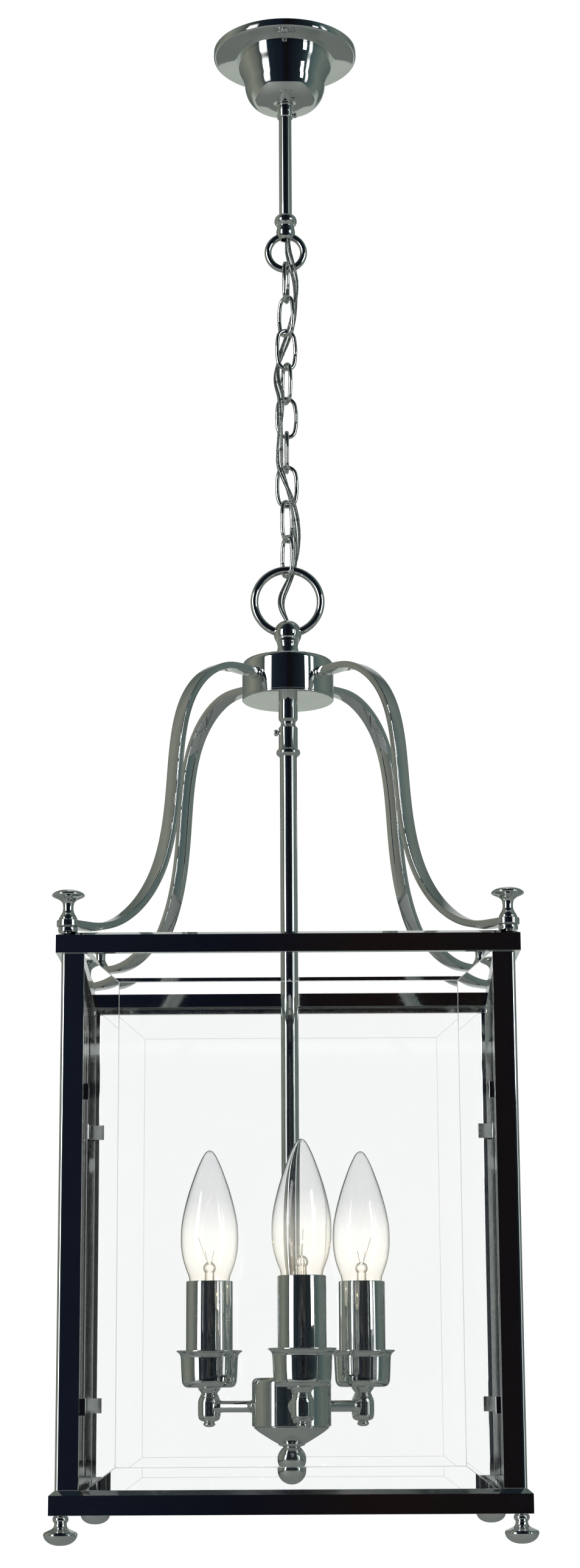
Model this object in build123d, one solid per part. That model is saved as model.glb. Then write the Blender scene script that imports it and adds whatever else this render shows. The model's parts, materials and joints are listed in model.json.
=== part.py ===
from build123d import *
import math
import os

# Hanging lantern: a chrome box frame with bevelled glass sides, carried by four
# bent arms, a stem with a three-candle cluster, and a chain below a ceiling canopy.
# Millimetres, +Z up. The origin is where the lantern meets the ceiling: the centre
# of the bracket's top face. Everything hangs below z = 0. -Y is the front.

os.makedirs("parts", exist_ok=True)

# ---- Driving dimensions ----

# canopy and ceiling fixing
CANOPY_R = 45.0
CANOPY_RIM_H = 5.2
CANOPY_BASE_Z = -36.5
CANOPY_BASE_R = 18.0
CANOPY_WALL = 1.2
CANOPY_SCREW_Y = 40.0
STRAP_HALF_LENGTH = 42.5
STRAP_WIDTH = 14.0
STRAP_T = 1.5
STRAP_DROP = 16.0
STRAP_WEB_Y = 20.0
SLOT_Y = 28.0
SLOT_LENGTH = 12.0
SLOT_R = 2.3
ROD_R = 4.0
ROD_BORE_R = 2.9
ROD_TOP_Z = -11.3
ROD_BOTTOM_Z = -113.0
NUT_FLATS = 13.0
COLLAR_R = 5.0
COLLAR_H = 9.0

# loops and chain
UPPER_RING_R = 11.1
UPPER_RING_WIRE = 2.2
UPPER_RING_BOTTOM = -147.2
LOWER_RING_R = 20.1
LOWER_RING_WIRE = 2.4
LOWER_RING_TOP = -342.8
LINK_COUNT = 9
LINK_WIRE = 1.25
LINK_END_R = 5.3
LINK_HALF_WIDTH = 6.0
LINK_LENGTH = 25.08
LINK_GAP = 0.3
# How far each link is turned about the vertical, in degrees from facing the front.
LINK_TURN = [80, 135, 20, 115, 12, 92, 0, 60, 120]

# flex
FLEX_R = 2.3
CORE_R = 0.7
CORE_SPACING = 1.5
# Where the flex stands round the chain, in degrees from +X, at the ring, then in
# turn at the middle of each link and at the crossing below it.
FLEX_CLOCK = [-55, -16, 17.5, 47.5, 77.5, 117.5, 157.5, 200, 240, 238, 232, 228, 226, 263,
              300, 330, 360, 390, 420]
FLEX_OFFSET = 6.4
FLEX_IN_LOWER_RING = [(-0.5, 4.6, -351.5), (-4.0, 2.4, -360.0), (-3.6, 0.6, -368.0),
                      (0.0, 0.0, -375.4)]
FLEX_END_Z = -377.5

# hub and arms
BALL_Z = -383.1
BALL_R = 8.4
HUB_R = 27.5
HUB_TOP = -400.2
HUB_BOTTOM = -425.0
HUB_WALL = 2.2
ARM_W = 9.6
ARM_T = 4.0
ARM_ROOT = 30.3
ARM_ROOT_Z = -412.2
# Middle line of an arm in its own upright plane: distance from the axis, height.
ARM_LINE = [(52.0, -413.0), (70.5, -423.0), (82.0, -438.5), (88.4, -458.5), (92.2, -490.0),
            (96.5, -519.5), (105.0, -544.0), (120.5, -565.0), (139.0, -577.2)]
ARM_FOOT_START = 157.0
FOOT_EYE_R = 6.2

# stem
STEM_R = 5.15
STEM_BORE_R = 4.0
STEM_TOP = -442.0
COUPLER_R = 5.75
COUPLER_BOTTOM = -459.5

# box frame
FRAME_HALF = 126.1
RAIL_DEPTH = 12.2
TOP_RAIL = (-597.5, -585.65)
BOTTOM_RAIL = (-892.9, -880.2)
POST_HALF = 123.3
POST_LEG = 12.5
POST_T = 1.5
POST_CORNER_R = 2.5
FINIAL_XY = 120.0
FOOT_GAP = 3.0

# glass
GLASS_FACE = 121.5
GLASS_T = 4.0
GLASS_EDGE_T = 2.4
GLASS_HALF = 113.5
GLASS_Z = (-885.1, -594.4)
GLASS_FLAT_HALF = 91.7
GLASS_FLAT_Z = (-868.9, -613.1)
GLASS_PLAY = 0.4
CLIP_Z = (-838.0, -672.0)
CLIP_H = 9.0
CLIP_T = 0.8

# candle cluster
CLUSTER_R = 22.5
CLUSTER_Z = (-849.5, -822.5)
CANDLE_COUNT = 3
CANDLE_RADIUS = 51.5
CANDLE_TURN = -83.0
CANDLE_ARM_Z = -838.5
CANDLE_ARM_R = 3.25
CUP_Z = (-827.8, -806.8)
SLEEVE_R = 13.5
SLEEVE_TOP = -767.5
BULB_COLLAR_Z = -775.5
BULB_R = 16.75
BULB_TIP_Z = -691.8
CAP_R = 6.9
HOLDER_R = 11.8

LINK_PITCH = LINK_LENGTH - 2 * LINK_WIRE - LINK_GAP
FIRST_LINK_TOP = UPPER_RING_BOTTOM + UPPER_RING_WIRE + LINK_WIRE + LINK_GAP
QUARTERS = {"front_left": 225, "front_right": 315, "back_right": 45, "back_left": 135}
SIDES = {"front": 0, "right": 90, "back": 180, "left": 270}


# ---- Helpers ----

def write(name, shape):
    """Write one node, a single solid or a group of separate solids."""
    export_step(shape, f"parts/{name}.step")


def group(pieces):
    """Separate solids that share one node."""
    return Compound(children=list(pieces))


def turned(*segments):
    """A turned piece: a closed half section of (radius, height) edges, spun about Z."""
    with BuildSketch(Plane.XZ) as section:
        with BuildLine():
            for segment in segments:
                segment()
        make_face()
    return revolve(section.sketch, axis=Axis.Z)


def line(*points):
    return lambda: Polyline(*points)


def curve(*points, tangents=None):
    return lambda: Spline(*points, tangents=tangents)


def round_bar(radius, low, high, bore=0.0):
    """An upright rod or tube between two heights."""
    bar = Pos(0, 0, (low + high) / 2) * Cylinder(radius, high - low)
    if bore:
        bar -= Pos(0, 0, (low + high) / 2) * Cylinder(bore, high - low + 2)
    return bar


def cross_bar(radius, start, end, z):
    """A round pin along +X between two distances from the axis."""
    pin = Rot(0, 90, 0) * Cylinder(radius, end - start)
    return Pos((start + end) / 2, 0, z) * pin


def hex_nut(flats, low, high, bore):
    nut = extrude(RegularPolygon(flats / 2, 6, major_radius=False), high - low)
    return Pos(0, 0, low) * nut - round_bar(bore, low - 1, high + 1)


def around(piece, angles):
    return [Rot(0, 0, a) * piece for a in angles]


def moved_aside(edge, distance, steps=22):
    """Points of a copy of a flat curve, moved to its left by a distance."""
    points = []
    for i in range(steps + 1):
        along = edge % (i / steps)
        here = edge @ (i / steps)
        points.append((here.X - along.Y * distance, here.Y + along.X * distance))
    return points


def block(x_range, y_range, z_range):
    size = [r[1] - r[0] for r in (x_range, y_range, z_range)]
    middle = [(r[1] + r[0]) / 2 for r in (x_range, y_range, z_range)]
    return Pos(*middle) * Box(*size)


# ---- Ceiling fixing ----

def ceiling_bracket():
    """Hat-shaped strap: slotted ends on the ceiling, a dropped bar for the rod."""
    half = STRAP_WIDTH / 2
    outline = Polyline(
        (-STRAP_HALF_LENGTH, 0), (-STRAP_WEB_Y + STRAP_T, 0),
        (-STRAP_WEB_Y + STRAP_T, -STRAP_DROP + STRAP_T),
        (STRAP_WEB_Y - STRAP_T, -STRAP_DROP + STRAP_T),
        (STRAP_WEB_Y - STRAP_T, 0), (STRAP_HALF_LENGTH, 0),
        (STRAP_HALF_LENGTH, -STRAP_T), (STRAP_WEB_Y, -STRAP_T),
        (STRAP_WEB_Y, -STRAP_DROP), (-STRAP_WEB_Y, -STRAP_DROP),
        (-STRAP_WEB_Y, -STRAP_T), (-STRAP_HALF_LENGTH, -STRAP_T), close=True)
    strap = extrude(Plane.YZ * make_face(outline), half, both=True)
    slot = Rot(0, 0, 90) * SlotOverall(SLOT_LENGTH, 2 * SLOT_R)
    canopy_screw_hole_r = 1.9
    for side in (-1, 1):
        strap -= extrude(Pos(0, side * SLOT_Y, 0) * slot, STRAP_T + 1, both=True)
        strap -= Pos(0, side * CANOPY_SCREW_Y, 0) * Cylinder(canopy_screw_hole_r, 2 * STRAP_T + 2)
    return strap - round_bar(ROD_R + 0.05, -STRAP_DROP - 1, -STRAP_DROP + STRAP_T + 1)


def rod_nuts():
    bore = ROD_R + 0.05
    bar_top = -STRAP_DROP + STRAP_T
    upper = hex_nut(NUT_FLATS, bar_top, bar_top + 3.0, bore)
    lower = hex_nut(NUT_FLATS, -STRAP_DROP - 4.0, -STRAP_DROP, bore)
    return group([upper, lower])


def terminal_block():
    """Three-way connector on the dropped bar, with its wire and screw holes."""
    body = block((-9, 9), (8.6, 18.2), (-STRAP_DROP + STRAP_T, -5.6))
    body = fillet(body.edges().filter_by(Axis.Y), 1.0)
    for i in (-1, 0, 1):
        body -= Pos(i * 6.0, 13.4, -6.0) * Cylinder(1.6, 4.0)
    return body


def supply_cores():
    """The flex's stripped cores, from the rod's mouth to the terminal block."""
    core_z = -8.0
    bend = 2.6
    wires = []
    for i in (-1, 0, 1):
        x = i * CORE_SPACING
        path = FilletPolyline((x, 0, -14.0), (x, 0, core_z), (x, 8.6, core_z), radius=bend)
        wires.append(sweep(Plane(origin=(x, 0, -14.0)) * Circle(CORE_R), path=path))
    return group(wires)


def hanging_rod():
    return round_bar(ROD_R, ROD_BOTTOM_Z, ROD_TOP_Z, ROD_BORE_R)


def upper_loop():
    """Two turned beads with a ring below, bored for the flex."""
    bead_z, bead_r = -115.0, 7.0
    boss_z, boss_r = -122.8, 5.9
    boss_bottom = -127.6
    top = -111.4
    bore = ROD_BORE_R
    body = turned(
        line((bore, boss_bottom), (bore, ROD_BOTTOM_Z), (ROD_R + 0.02, ROD_BOTTOM_Z),
             (ROD_R + 0.02, top), (5.0, top)),
        curve((5.0, top), (bead_r, bead_z), (5.6, -118.4),
              tangents=[(1, -0.6), (-0.8, -1)]),
        curve((5.6, -118.4), (boss_r, boss_z), (4.2, boss_bottom),
              tangents=[(0.1, -1), (-1, -0.3)]),
        line((4.2, boss_bottom), (bore, boss_bottom)))
    ring_z = UPPER_RING_BOTTOM + UPPER_RING_R
    ring = Pos(0, 0, ring_z) * Rot(90, 0, 0) * Torus(UPPER_RING_R, UPPER_RING_WIRE)
    ring -= round_bar(boss_r - 0.6, boss_bottom, top)
    ring -= round_bar(bore, boss_bottom - 4, top)
    return body + ring


# ---- Canopy ----

def canopy():
    """Pressed bell with an upright rim, hollow above, with a hole for the rod."""
    rim_low = -CANOPY_RIM_H
    outer = [(30.2, rim_low), (29.6, -10.0), (26.6, -17.6), (25.3, -22.5), (24.6, -27.0),
             (22.4, -31.8), (CANOPY_BASE_R, CANOPY_BASE_Z)]
    inner = [(r - CANOPY_WALL, z + CANOPY_WALL * 0.4) for r, z in outer[1:-1]]
    hole_r = ROD_R + 0.5
    start = (outer[0][0] - CANOPY_WALL, rim_low + CANOPY_WALL)
    end = (CANOPY_BASE_R - CANOPY_WALL, CANOPY_BASE_Z + CANOPY_WALL)
    inner_r = CANOPY_R - CANOPY_WALL
    edge = 1.6
    bell = turned(
        line((inner_r, 0), (CANOPY_R, 0), (CANOPY_R, rim_low + edge)),
        curve((CANOPY_R, rim_low + edge), (CANOPY_R - edge, rim_low),
              tangents=[(0, -1), (-1, 0)]),
        line((CANOPY_R - edge, rim_low), outer[0]),
        curve(*outer, tangents=[(0.25, -1), (-1, -0.35)]),
        line(outer[-1], (hole_r, CANOPY_BASE_Z), (hole_r, CANOPY_BASE_Z + CANOPY_WALL), end),
        curve(end, *reversed(inner), start, tangents=[(1, 0.45), (-0.25, 1)]),
        line(start, (inner_r, rim_low + CANOPY_WALL), (inner_r, 0)))
    for side in (-1, 1):
        bell -= Pos(0, side * CANOPY_SCREW_Y, rim_low) * Cylinder(1.55, 6)
    return bell


def canopy_collar():
    top = CANOPY_BASE_Z
    collar = round_bar(COLLAR_R, top - COLLAR_H, top)
    collar = fillet(collar.edges().sort_by(Axis.Z)[0], 0.8)
    collar -= round_bar(ROD_R + 0.05, top - COLLAR_H - 1, top + 1)
    return collar - cross_bar(0.95, 0, 8, top - COLLAR_H + 2.4)


def collar_screw():
    """Grub screw with a small knurled head, on the collar's right."""
    z = CANOPY_BASE_Z - COLLAR_H + 2.4
    return cross_bar(0.9, ROD_R + 0.3, 5.4, z) + cross_bar(1.7, 5.3, 7.3, z)


def canopy_screws():
    z = -CANOPY_RIM_H
    screw = round_bar(1.5, z - 0.1, -0.4) + round_bar(2.4, z - 0.6, z)
    screw += Pos(0, 0, z - 0.6) * extrude(Circle(2.4), -1.2, taper=30)
    return group([Pos(0, side * CANOPY_SCREW_Y, 0) * screw for side in (-1, 1)])


# ---- Chain ----

def wire_arc(centre, radius, start, sweep_by):
    """A stretch of link wire bent about a point (x, z), angles in degrees from +X up."""
    bend = Axis((centre[0], 0, centre[1]), (0, -1, 0))
    section = Pos(centre[0] + radius, 0, centre[1]) * Circle(LINK_WIRE)
    return revolve(section, axis=bend, revolution_arc=sweep_by).rotate(bend, start)


def chain_link():
    """One oval link of round wire, its top wire centred on z = 0, facing the front."""
    half = LINK_LENGTH / 2
    rise = half - LINK_END_R
    side_r = (rise ** 2 + LINK_HALF_WIDTH ** 2 - LINK_END_R ** 2) / (2 * (LINK_HALF_WIDTH - LINK_END_R))
    side_x = side_r - LINK_HALF_WIDTH
    lean = math.degrees(math.atan2(rise, side_x))
    end_turn = 180 - 2 * lean
    link = wire_arc((0, -LINK_END_R), LINK_END_R, lean, end_turn)
    link += wire_arc((side_x, -half), side_r, 180 - lean, 2 * lean)
    link += wire_arc((0, LINK_END_R - LINK_LENGTH), LINK_END_R, 180 + lean, end_turn)
    link += wire_arc((-side_x, -half), side_r, -lean, 2 * lean)
    return link


def chain_links():
    link = chain_link()
    for i, turn in enumerate(LINK_TURN):
        write(f"chain_link_{i + 1}", Pos(0, 0, FIRST_LINK_TOP - i * LINK_PITCH) * Rot(0, 0, turn) * link)


# ---- Flex ----

def flex_route():
    """Down the rod, round the chain, behind the lower ring's top and into its ball."""
    route = [(0.0, 0.0, -14.0), (0.0, 0.0, -128.5)]
    step = LINK_PITCH / 2
    middle = FIRST_LINK_TOP - LINK_WIRE
    for i, clock in enumerate(FLEX_CLOCK):
        a = math.radians(clock)
        z = middle - i * step
        if i == 0:
            z = UPPER_RING_BOTTOM
        if i == len(FLEX_CLOCK) - 1:
            z = LOWER_RING_TOP
        route.append((FLEX_OFFSET * math.cos(a), FLEX_OFFSET * math.sin(a), z))
    return route + FLEX_IN_LOWER_RING + [(0.0, 0.0, FLEX_END_Z)]


def bend_radii(route):
    """The largest tangent arc that each corner's two runs allow."""
    radii = []
    for before, here, after in zip(route, route[1:], route[2:]):
        run_in = Vector(*here) - Vector(*before)
        run_out = Vector(*after) - Vector(*here)
        half_turn = math.radians(run_in.get_angle(run_out)) / 2
        radii.append(0.45 * min(run_in.length, run_out.length) / math.tan(half_turn))
    return radii


def flex_cord():
    route = flex_route()
    radii = bend_radii(route)
    path = FilletPolyline(*route, radius=radii)
    cord = sweep(Plane(origin=route[0]) * Circle(FLEX_R), path=path)
    ideal = math.pi * FLEX_R ** 2 * path.length
    print("flex radii", [round(r, 1) for r in radii])
    print("flex length", round(path.length, 1), "volume ratio", round(cord.volume / ideal, 4))
    return cord


def stem_flex():
    return round_bar(FLEX_R, CLUSTER_Z[1] - 5.5, FLEX_END_Z)


# ---- Hub and arms ----

def lower_loop():
    """Big ring on a ball and neck, with a threaded tail through the hub, all bored."""
    bore = 3.4
    tail_r, tail_z = 5.0, -410.0
    ball_top = BALL_Z + math.sqrt(BALL_R ** 2 - bore ** 2)
    neck_z, neck_r = -389.6, 6.3
    foot_r = 7.4
    join_r = 7.0
    join_z = BALL_Z - math.sqrt(BALL_R ** 2 - join_r ** 2)
    body = turned(
        line((bore, tail_z), (bore, ball_top)),
        lambda: ThreePointArc((bore, ball_top), (BALL_R, BALL_Z), (join_r, join_z)),
        curve((join_r, join_z), (neck_r, neck_z), (foot_r, HUB_TOP + 3.6), (6.9, HUB_TOP),
              tangents=[(-0.6, -1), (-0.6, -1)]),
        line((6.9, HUB_TOP), (tail_r, HUB_TOP), (tail_r, tail_z), (bore, tail_z)))
    ring_z = LOWER_RING_TOP - LOWER_RING_R
    ring = Pos(0, 0, ring_z) * Rot(90, 0, 0) * Torus(LOWER_RING_R, LOWER_RING_WIRE)
    ring -= Pos(0, 0, BALL_Z) * Sphere(BALL_R - 1.2)
    ring -= round_bar(bore, BALL_Z - 8, BALL_Z + 12)
    return body + ring


def hub_drum():
    """Cup-shaped drum, open below, with a rounded shoulder."""
    low = HUB_BOTTOM + 1.4
    drum = round_bar(HUB_R, low, HUB_TOP)
    drum = fillet(drum.edges().sort_by(Axis.Z)[-1], 3.5)
    cavity = round_bar(HUB_R - HUB_WALL, low - 1, HUB_TOP - HUB_WALL)
    cavity = fillet(cavity.edges().sort_by(Axis.Z)[-1], 2.0)
    drum -= cavity
    drum -= round_bar(5.1, HUB_TOP - 5, HUB_TOP + 1)
    for a in QUARTERS.values():
        drum -= Rot(0, 0, a) * cross_bar(1.9, 20, 30, ARM_ROOT_Z)
    return drum


def hub_plate():
    return round_bar(HUB_R, HUB_BOTTOM, HUB_BOTTOM + 1.4, COUPLER_R + 0.1)


def hub_nut():
    top = HUB_TOP - HUB_WALL
    return hex_nut(16.0, top - 5.0, top, 5.05)


def arm_studs():
    """Shouldered studs: a head in the drum, a bead outside it, a tenon in the arm."""
    z = ARM_ROOT_Z
    head = cross_bar(3.4, 22.8, 24.9, z)
    shank = cross_bar(1.8, 24.8, 27.5, z)
    bead = cross_bar(3.7, 26.6, ARM_ROOT, z) - round_bar(HUB_R, HUB_BOTTOM, HUB_TOP)
    bead = fillet(bead.edges().filter_by(GeomType.CIRCLE).sort_by(Axis.X)[-1], 0.9)
    tenon = cross_bar(1.3, ARM_ROOT - 0.1, ARM_ROOT + 5, z)
    stud = head + shank + bead + tenon
    return group(around(stud, QUARTERS.values()))


def arm_outline():
    """Both edges of the arm: its middle line moved half a thickness each way."""
    foot_z = TOP_RAIL[1] + FOOT_GAP + ARM_T / 2
    middle = Spline((ARM_ROOT, ARM_ROOT_Z), *ARM_LINE, (ARM_FOOT_START, foot_z),
                    tangents=[(1, 0), (1, 0)])
    return moved_aside(middle, ARM_T / 2), moved_aside(middle, -ARM_T / 2), foot_z


def hanger_arm():
    """Flat bar bent from the hub out and down to an eye on the frame's corner."""
    upper, lower, foot_z = arm_outline()
    foot_end = FINIAL_XY * math.sqrt(2)
    top_edge = Spline(*upper, tangents=[(1, 0), (1, 0)])
    low_edge = Spline(*lower, tangents=[(1, 0), (1, 0)])
    end_top = (foot_end, foot_z + ARM_T / 2)
    end_low = (foot_end, foot_z - ARM_T / 2)
    ends = [Line(top_edge @ 1, end_top), Line(end_top, end_low), Line(end_low, low_edge @ 1)]
    side = make_face([top_edge, *ends, low_edge, Line(low_edge @ 0, top_edge @ 0)])
    bar = extrude(Plane.XZ * side, ARM_W / 2, both=True)
    eye = Pos(foot_end, 0, 0) * round_bar(FOOT_EYE_R, foot_z - ARM_T / 2, foot_z + ARM_T / 2)
    bar = bar + eye
    bar -= Pos(foot_end, 0, 0) * round_bar(2.05, foot_z - ARM_T, foot_z + ARM_T)
    return bar - cross_bar(1.35, 20, ARM_ROOT + 5.2, ARM_ROOT_Z)


# ---- Stem ----

def stem_coupler():
    """Turned coupler: flange above the hub plate, groove, socket and collar."""
    bore = 3.0
    socket_r = STEM_R + 0.02
    flange_low = HUB_BOTTOM + 1.4
    groove_z, groove_r, groove_half = -439.2, 4.4, 2.4
    return turned(
        line((bore, flange_low + 2.2), (8.0, flange_low + 2.2), (8.0, flange_low),
             (COUPLER_R, flange_low), (COUPLER_R, groove_z + groove_half)),
        lambda: ThreePointArc((COUPLER_R, groove_z + groove_half), (groove_r, groove_z),
                              (COUPLER_R, groove_z - groove_half)),
        line((COUPLER_R, groove_z - groove_half), (COUPLER_R, COUPLER_BOTTOM + 4.9)),
        curve((COUPLER_R, COUPLER_BOTTOM + 4.9), (7.15, COUPLER_BOTTOM + 2.5),
              tangents=[(0.8, -1), (0.1, -1)]),
        curve((7.15, COUPLER_BOTTOM + 2.5), (5.6, COUPLER_BOTTOM),
              tangents=[(-0.1, -1), (-0.8, -1)]),
        line((5.6, COUPLER_BOTTOM), (socket_r, COUPLER_BOTTOM), (socket_r, STEM_TOP),
             (bore, STEM_TOP), (bore, flange_low + 2.2))) - Rot(0, 0, 180) * cross_bar(1.25, 4.5, 8, -444.6)


def coupler_screw():
    """Small screw in the coupler's left side that grips the stem tube."""
    screw = cross_bar(1.2, STEM_R + 0.05, 6.4, -444.6) + cross_bar(2.0, 6.2, 8.4, -444.6)
    return Rot(0, 0, 180) * screw


def stem_tube():
    return round_bar(STEM_R, CLUSTER_Z[1] - 3.0, STEM_TOP, STEM_BORE_R)


# ---- Box frame ----

def rail(z_range, glass_edge_z, shoulder):
    """One mitred rail of the front side, rebated behind for the glass."""
    low, high = z_range
    outer, inner = FRAME_HALF, FRAME_HALF - RAIL_DEPTH
    plan = make_face(Polyline((-outer, -outer), (outer, -outer), (inner, -inner),
                              (-inner, -inner), close=True))
    bar = Pos(0, 0, low) * extrude(plan, high - low)
    top_outer = bar.edges().filter_by(Axis.X).group_by(Axis.Z)[-1].sort_by(Axis.Y)[0]
    bar = chamfer(top_outer, shoulder[0], shoulder[1])
    rebate_face = GLASS_FACE + 0.2
    if glass_edge_z < (low + high) / 2:
        z_cut = (low - 1, glass_edge_z + GLASS_PLAY)
    else:
        z_cut = (glass_edge_z - GLASS_PLAY, high + 1)
    return bar - block((-GLASS_HALF - 1, GLASS_HALF + 1), (-rebate_face, -inner + 1), z_cut)


def rails(z_range, glass_edge_z, shoulder, hole_r):
    bar = rail(z_range, glass_edge_z, shoulder)
    holes = [Pos(x, y, 0) * round_bar(hole_r, z_range[0] - 1, z_range[1] + 1)
             for x in (-FINIAL_XY, FINIAL_XY) for y in (-FINIAL_XY, FINIAL_XY)]
    bars = []
    for a in SIDES.values():
        piece = Rot(0, 0, a) * bar
        for hole in holes:
            piece -= hole
        bars.append(piece)
    return group(bars)


def corner_post():
    """Angle section between the rails, rounded along its outer corner."""
    outer, leg, t = POST_HALF, POST_LEG, POST_T
    plan = make_face(Polyline((outer, outer), (outer - leg, outer), (outer - leg, outer - t),
                              (outer - t, outer - t), (outer - t, outer - leg),
                              (outer, outer - leg), close=True))
    post = Pos(0, 0, BOTTOM_RAIL[1]) * extrude(plan, TOP_RAIL[0] - BOTTOM_RAIL[1])
    corner = post.edges().filter_by(Axis.Z).sort_by(lambda e: e.center().X + e.center().Y)[-1]
    return fillet(corner, POST_CORNER_R)


def glass_pane():
    """Clear pane of the front side, its outer face bevelled all round."""
    low, high = GLASS_Z
    flat_low, flat_high = GLASS_FLAT_Z
    inner_face = -(GLASS_FACE - GLASS_T)
    edge_face = inner_face - GLASS_EDGE_T
    slab = block((-GLASS_HALF, GLASS_HALF), (edge_face, inner_face), (low, high))
    edge = Plane(origin=(0, edge_face, 0), x_dir=(1, 0, 0), z_dir=(0, -1, 0))
    face = Plane(origin=(0, -GLASS_FACE, 0), x_dir=(1, 0, 0), z_dir=(0, -1, 0))
    rim = edge * Pos(0, (low + high) / 2) * Rectangle(2 * GLASS_HALF, high - low)
    flat = face * Pos(0, (flat_low + flat_high) / 2) * Rectangle(2 * GLASS_FLAT_HALF, flat_high - flat_low)
    return slab + loft([rim, flat])


def glass_clips():
    """Sprung tabs in the corners, two heights, each holding two panes from inside."""
    face = GLASS_FACE - GLASS_T - 0.1
    reach = POST_HALF - POST_LEG - 3.0
    wall = POST_HALF - POST_T
    clips = []
    for z in CLIP_Z:
        height = (z - CLIP_H / 2, z + CLIP_H / 2)
        across = block((reach, wall), (face - CLIP_T, face), height)
        along = block((face - CLIP_T, face), (reach, wall), height)
        clips += around(across + along, SIDES.values())
    return group(clips)


def at_corners(piece):
    return group([Pos(x, y, 0) * piece for x in (-FINIAL_XY, FINIAL_XY) for y in (-FINIAL_XY, FINIAL_XY)])


def foot_spacer():
    low = TOP_RAIL[1]
    high = low + FOOT_GAP
    ring = turned(line((2.1, low), (5.2, low)),
                  curve((5.2, low), (5.0, high), tangents=[(0.6, 1), (-0.6, 1)]),
                  line((5.0, high), (2.1, high), (2.1, low)))
    return ring


def top_finial():
    """Mushroom finial with a flared base, and a stud down through foot and rail."""
    base = TOP_RAIL[1] + FOOT_GAP + ARM_T
    cap_z = base + 13.4
    top = base + 16.6
    stud_end = TOP_RAIL[0] + 0.5
    return turned(
        line((0, stud_end), (2.0, stud_end), (2.0, base), (5.0, base)),
        curve((5.0, base), (4.6, base + 1.4), (2.9, base + 5.4), (3.0, base + 9.2),
              tangents=[(0.3, 1), (0.15, 1)]),
        curve((3.0, base + 9.2), (7.6, cap_z - 1.6), (9.0, cap_z),
              tangents=[(0.5, 1), (0.25, 1)]),
        curve((9.0, cap_z), (6.2, top - 0.7), (0, top), tangents=[(-0.2, 1), (-1, 0)]),
        line((0, top), (0, stud_end)))


def bottom_finial():
    """Domed button foot on a bead and neck, with a stud up through the rail."""
    top = BOTTOM_RAIL[0]
    stud_top = BOTTOM_RAIL[1] - 4.0
    return turned(
        line((0, stud_top), (2.0, stud_top), (2.0, top), (3.4, top)),
        curve((3.4, top), (4.2, top - 1.9), (3.3, top - 3.6), tangents=[(0.6, -1), (-0.6, -1)]),
        curve((3.3, top - 3.6), (4.2, top - 5.6), (9.0, top - 9.4),
              tangents=[(0, -1), (0.4, -1)]),
        curve((9.0, top - 9.4), (6.6, top - 13.6), (0, top - 15.3),
              tangents=[(-0.1, -1), (-1, 0)]),
        line((0, top - 15.3), (0, stud_top)))


# ---- Candle cluster ----

def candle_angles():
    return [CANDLE_TURN + i * 360 / CANDLE_COUNT for i in range(CANDLE_COUNT)]


def at_candles(piece):
    return [Rot(0, 0, a) * Pos(CANDLE_RADIUS, 0, 0) * piece for a in candle_angles()]


def cluster_body():
    """Hollow drum round the stem's end, with a lip and a side hole for each arm."""
    low, high = CLUSTER_Z
    drum = round_bar(CLUSTER_R, low, high)
    drum = fillet(drum.edges().sort_by(Axis.Z)[-1], 3.0)
    cavity = round_bar(CLUSTER_R - 2.0, low + 3.0, high - 2.5)
    drum -= cavity
    drum -= round_bar(STEM_R + 0.02, high - 3, high + 1)
    drum -= round_bar(3.05, low - 1, low + 4)
    for a in candle_angles():
        drum -= Rot(0, 0, a) * cross_bar(CANDLE_ARM_R + 0.02, 15, 30, CANDLE_ARM_Z)
    return drum


def cluster_finial():
    """Cone and ball below the cluster, on a screw up into the cluster body."""
    top = CLUSTER_Z[0]
    ball_z, ball_r = -867.5, 8.15
    waist_r, waist_z = 5.0, -861.0
    join_z = ball_z + math.sqrt(ball_r ** 2 - waist_r ** 2)
    return turned(
        line((0, top + 6), (3.0, top + 6), (3.0, top), (CLUSTER_R - 1.0, top)),
        curve((CLUSTER_R - 1.0, top), (15.5, top - 5.6), (7.6, top - 10.2),
              tangents=[(0, -1), (-1, -0.25)]),
        curve((7.6, top - 10.2), (waist_r, join_z), tangents=[(0, -1), (-0.8, -1)]),
        lambda: ThreePointArc((waist_r, join_z), (ball_r, ball_z), (0, ball_z - ball_r)),
        line((0, ball_z - ball_r), (0, top + 6)))


def cluster_arm():
    """Tube from the cluster body to a candle fitting, flared at both ends."""
    z = CANDLE_ARM_Z
    start, end = CLUSTER_R - 4.0, CANDLE_RADIUS - 4.2
    bore = 2.1
    tube = cross_bar(CANDLE_ARM_R, start, end, z) - cross_bar(bore, start - 1, end + 1, z)
    for at, grow in ((CLUSTER_R, 1), (end, -1)):
        flare = extrude(Plane(origin=(at, 0, z), z_dir=(grow, 0, 0)) * Circle(4.75), 3.6, taper=22)
        flare -= cross_bar(CANDLE_ARM_R - 0.4, at - 5, at + 5, z)
        if grow == 1:
            flare -= round_bar(CLUSTER_R, CLUSTER_Z[0], CLUSTER_Z[1])
        tube += flare
    return tube


def candle_fitting():
    """Vase-shaped turned body under a cup, open to the arm on its inner side."""
    low, high = -850.0, CUP_Z[0]
    z = CANDLE_ARM_Z
    vase = turned(
        line((0, low), (1.6, low)),
        curve((1.6, low), (3.4, low + 1.6), (2.6, low + 3.4), tangents=[(1, 0.3), (-0.4, 1)]),
        curve((2.6, low + 3.4), (6.5, z - 1.0), (6.0, z + 4.0), (4.4, high - 2.6),
              (6.8, high), tangents=[(0.5, 1), (1, 0.8)]),
        line((6.8, high), (0, high), (0, low)))
    bore = round_bar(2.6, z, high + 1)
    inlet = Rot(0, 0, 180) * cross_bar(2.1, 0, 10, z)
    seat = block((-10, -4.2), (-8, 8), (z - 4.75, z + 4.75))
    return vase - bore - inlet - seat


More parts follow.
